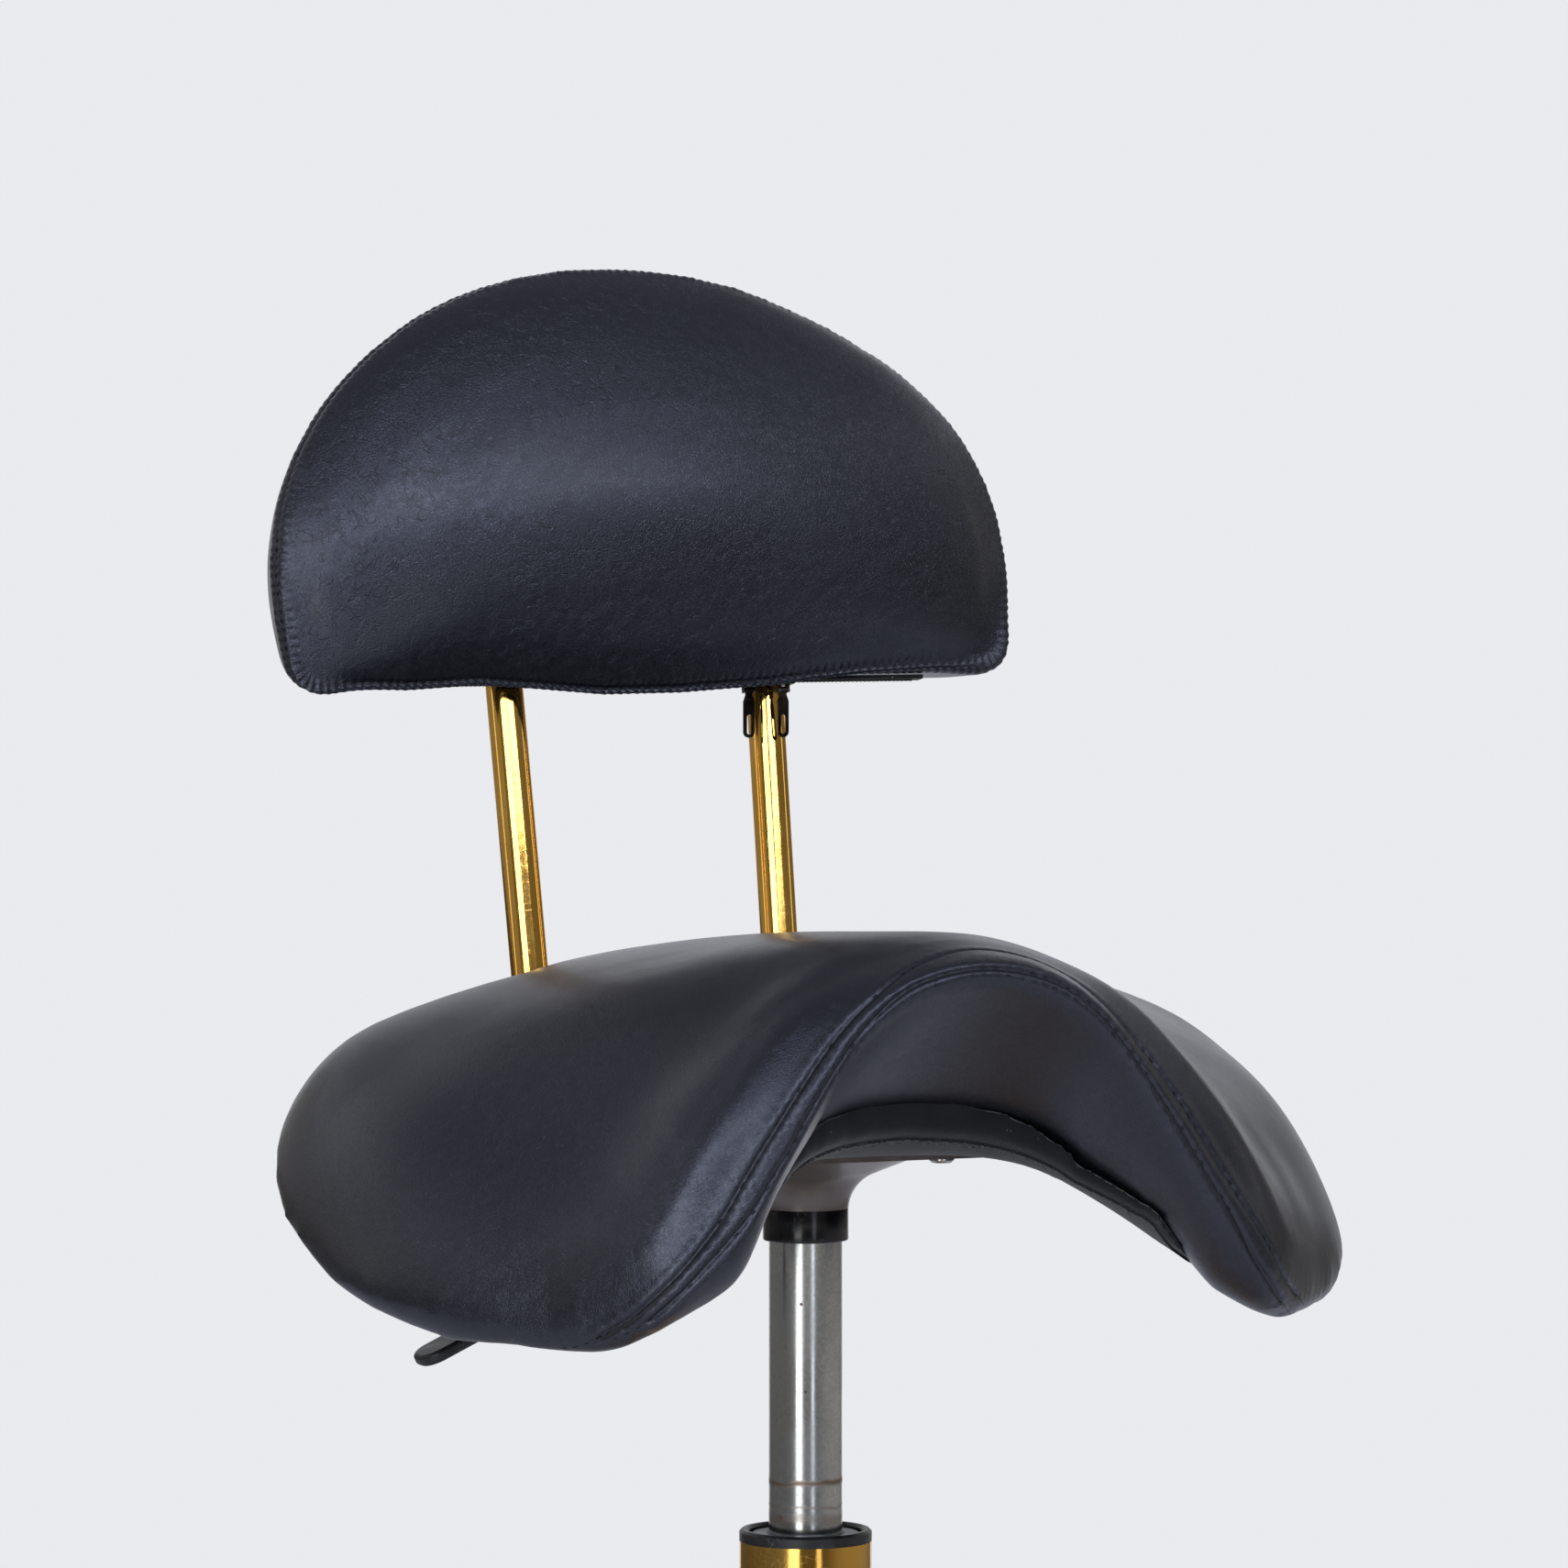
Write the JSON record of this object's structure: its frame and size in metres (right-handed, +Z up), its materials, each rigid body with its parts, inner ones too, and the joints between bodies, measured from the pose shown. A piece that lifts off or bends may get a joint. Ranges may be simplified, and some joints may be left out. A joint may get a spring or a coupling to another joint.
{
  "type": "salon saddle stool",
  "caption": "Height-adjustable swivel stool with a saddle seat, a half-moon backrest on two leaning tubes and a wheeled star base.",
  "frame": {"origin": "on the floor, on the axis of the column", "axes": "+Z up along the column, -Y the way the sitter faces, +X to the sitter's left"},
  "size_m": [0.6027, 0.5587, 0.8464],
  "materials": {
    "gold_metal": "polished gold-coloured plating on steel",
    "chromed_steel": "polished chrome plating, slightly stained",
    "black_metal": "steel, satin black paint",
    "gloss_black_plastic": "moulded, glossy",
    "plain_steel": "zinc plated or ground steel",
    "black_plastic": "moulded, satin",
    "grey_plastic": "moulded, matt",
    "rubber_black": "matt",
    "wheel_tread": "moulded nylon with a soft tread",
    "faux_leather": "black faux leather, fine grain, soft sheen, over foam",
    "pan_board": "moulded plywood, stained black",
    "dark_cloth": "thin unwoven cloth",
    "zip_tape": "woven zip tape",
    "zip_metal": "dark lacquered zinc"
  },
  "bodies": {
    "base": {"base_hub": "gold_metal", "base_leg_1": "gold_metal", "base_leg_2": "gold_metal", "base_leg_3": "gold_metal", "base_leg_4": "gold_metal", "base_leg_5": "gold_metal", "caster_stems": "plain_steel", "outer_column": "gold_metal", "column_top_ring": "black_plastic", "guide_bush": "grey_plastic", "lower_race": "plain_steel", "thrust_balls": "plain_steel"},
    "lift_rod": {"piston_rod": "plain_steel", "upper_race": "plain_steel", "bumper": "rubber_black", "rod_clip": "plain_steel"},
    "seat": {"gas_cylinder": "chromed_steel", "socket_cone": "black_metal", "socket_collar": "gloss_black_plastic", "seat_plate": "black_metal", "pan_bolts": "plain_steel", "lever_pivot_pin": "plain_steel", "seat_pan": "pan_board", "dust_cover": "dark_cloth", "seat_cushion": "faux_leather", "bracket_plate": "black_metal", "post_straps": "black_metal", "post_left": "gold_metal", "post_right": "gold_metal", "back_board": "pan_board", "back_screws": "plain_steel", "back_cushion": "faux_leather", "zip_strip": "zip_tape"},
    "release_button": {"release_pin": "plain_steel"},
    "height_lever": {"lever_rod": "black_metal", "lever_paddle": "black_plastic"},
    "zip_slider_left": {"zip_slider_left": "zip_metal"},
    "zip_pull_left": {"zip_pull_left": "zip_metal"},
    "zip_slider_right": {"zip_slider_right": "zip_metal"},
    "zip_pull_right": {"zip_pull_right": "zip_metal"},
    "caster_1": {"caster_hood_1": "black_plastic", "caster_axle_1": "plain_steel"},
    "wheel_left_1": {"caster_wheel_left_1": "wheel_tread"},
    "wheel_right_1": {"caster_wheel_right_1": "wheel_tread"},
    "caster_2": {"caster_hood_2": "black_plastic", "caster_axle_2": "plain_steel"},
    "wheel_left_2": {"caster_wheel_left_2": "wheel_tread"},
    "wheel_right_2": {"caster_wheel_right_2": "wheel_tread"},
    "caster_3": {"caster_hood_3": "black_plastic", "caster_axle_3": "plain_steel"},
    "wheel_left_3": {"caster_wheel_left_3": "wheel_tread"},
    "wheel_right_3": {"caster_wheel_right_3": "wheel_tread"},
    "caster_4": {"caster_hood_4": "black_plastic", "caster_axle_4": "plain_steel"},
    "wheel_left_4": {"caster_wheel_left_4": "wheel_tread"},
    "wheel_right_4": {"caster_wheel_right_4": "wheel_tread"},
    "caster_5": {"caster_hood_5": "black_plastic", "caster_axle_5": "plain_steel"},
    "wheel_left_5": {"caster_wheel_left_5": "wheel_tread"},
    "wheel_right_5": {"caster_wheel_right_5": "wheel_tread"}
  },
  "joints": [
    {"name": "seat_swivel", "type": "hinge", "parent": "base", "child": "lift_rod", "pos_m": [0, 0, 0.0764], "axis": [0, 0, 1], "continuous": true},
    {"name": "seat_height", "type": "slide", "parent": "lift_rod", "child": "seat", "axis": [0, 0, 1], "range_m": [-0.098, 0.042]},
    {"name": "lever_tilt", "type": "hinge", "parent": "seat", "child": "height_lever", "pos_m": [-0.026, 0, 0.4998], "axis": [0, 1, 0], "range_deg": [0, 7], "stiffness_Nm_per_rad": 8, "springref_deg": -5.73},
    {"name": "release_press", "type": "slide", "parent": "seat", "child": "release_button", "axis": [0, 0, 1], "range_m": [-0.0033, 0]},
    {"name": "zip_travel_left", "type": "slide", "parent": "seat", "child": "zip_slider_left", "axis": [1, 0, 0], "range_m": [-0.0025, 0.055]},
    {"name": "zip_pull_swing_left", "type": "hinge", "parent": "zip_slider_left", "child": "zip_pull_left", "pos_m": [0.0574, 0.15726, 0.67754], "axis": [1, 0, 0], "range_deg": [-75, 6]},
    {"name": "zip_travel_right", "type": "slide", "parent": "seat", "child": "zip_slider_right", "axis": [1, 0, 0], "range_m": [-0.155, 0.0025]},
    {"name": "zip_pull_swing_right", "type": "hinge", "parent": "zip_slider_right", "child": "zip_pull_right", "pos_m": [0.0426, 0.15726, 0.67754], "axis": [1, 0, 0], "range_deg": [-75, 6]},
    {"name": "caster_swivel_1", "type": "hinge", "parent": "base", "child": "caster_1", "pos_m": [0, -0.268, 0.06], "axis": [0, 0, 1], "continuous": true},
    {"name": "wheel_roll_left_1", "type": "hinge", "parent": "caster_1", "child": "wheel_left_1", "pos_m": [0.01854, -0.27786, 0.025], "axis": [0.4695, 0.8829, 0], "continuous": true},
    {"name": "wheel_roll_right_1", "type": "hinge", "parent": "caster_1", "child": "wheel_right_1", "pos_m": [0.01854, -0.27786, 0.025], "axis": [0.4695, 0.8829, 0], "continuous": true},
    {"name": "caster_swivel_2", "type": "hinge", "parent": "base", "child": "caster_2", "pos_m": [0.25488, -0.08282, 0.06], "axis": [0, 0, 1], "continuous": true},
    {"name": "wheel_roll_left_2", "type": "hinge", "parent": "caster_2", "child": "wheel_left_2", "pos_m": [0.26663, -0.10023, 0.025], "axis": [0.829, 0.5592, 0], "continuous": true},
    {"name": "wheel_roll_right_2", "type": "hinge", "parent": "caster_2", "child": "wheel_right_2", "pos_m": [0.26663, -0.10023, 0.025], "axis": [0.829, 0.5592, 0], "continuous": true},
    {"name": "caster_swivel_3", "type": "hinge", "parent": "base", "child": "caster_3", "pos_m": [0.15753, 0.21682, 0.06], "axis": [0, 0, 1], "continuous": true},
    {"name": "wheel_roll_left_3", "type": "hinge", "parent": "caster_3", "child": "wheel_left_3", "pos_m": [0.13673, 0.21974, 0.025], "axis": [-0.1392, -0.9903, 0], "continuous": true},
    {"name": "wheel_roll_right_3", "type": "hinge", "parent": "caster_3", "child": "wheel_right_3", "pos_m": [0.13673, 0.21974, 0.025], "axis": [-0.1392, -0.9903, 0], "continuous": true},
    {"name": "caster_swivel_4", "type": "hinge", "parent": "base", "child": "caster_4", "pos_m": [-0.15753, 0.21682, 0.06], "axis": [0, 0, 1], "continuous": true},
    {"name": "wheel_roll_left_4", "type": "hinge", "parent": "caster_4", "child": "wheel_left_4", "pos_m": [-0.13916, 0.20664, 0.025], "axis": [0.4848, 0.8746, 0], "continuous": true},
    {"name": "wheel_roll_right_4", "type": "hinge", "parent": "caster_4", "child": "wheel_right_4", "pos_m": [-0.13916, 0.20664, 0.025], "axis": [0.4848, 0.8746, 0], "continuous": true},
    {"name": "caster_swivel_5", "type": "hinge", "parent": "base", "child": "caster_5", "pos_m": [-0.25488, -0.08282, 0.06], "axis": [0, 0, 1], "continuous": true},
    {"name": "wheel_roll_left_5", "type": "hinge", "parent": "caster_5", "child": "wheel_left_5", "pos_m": [-0.26632, -0.0652, 0.025], "axis": [-0.8387, -0.5446, 0], "continuous": true},
    {"name": "wheel_roll_right_5", "type": "hinge", "parent": "caster_5", "child": "wheel_right_5", "pos_m": [-0.26632, -0.0652, 0.025], "axis": [-0.8387, -0.5446, 0], "continuous": true}
  ],
  "couplings": [
    {"joint": "release_press", "follows": "lever_tilt", "m_per_rad": -0.026}
  ]
}
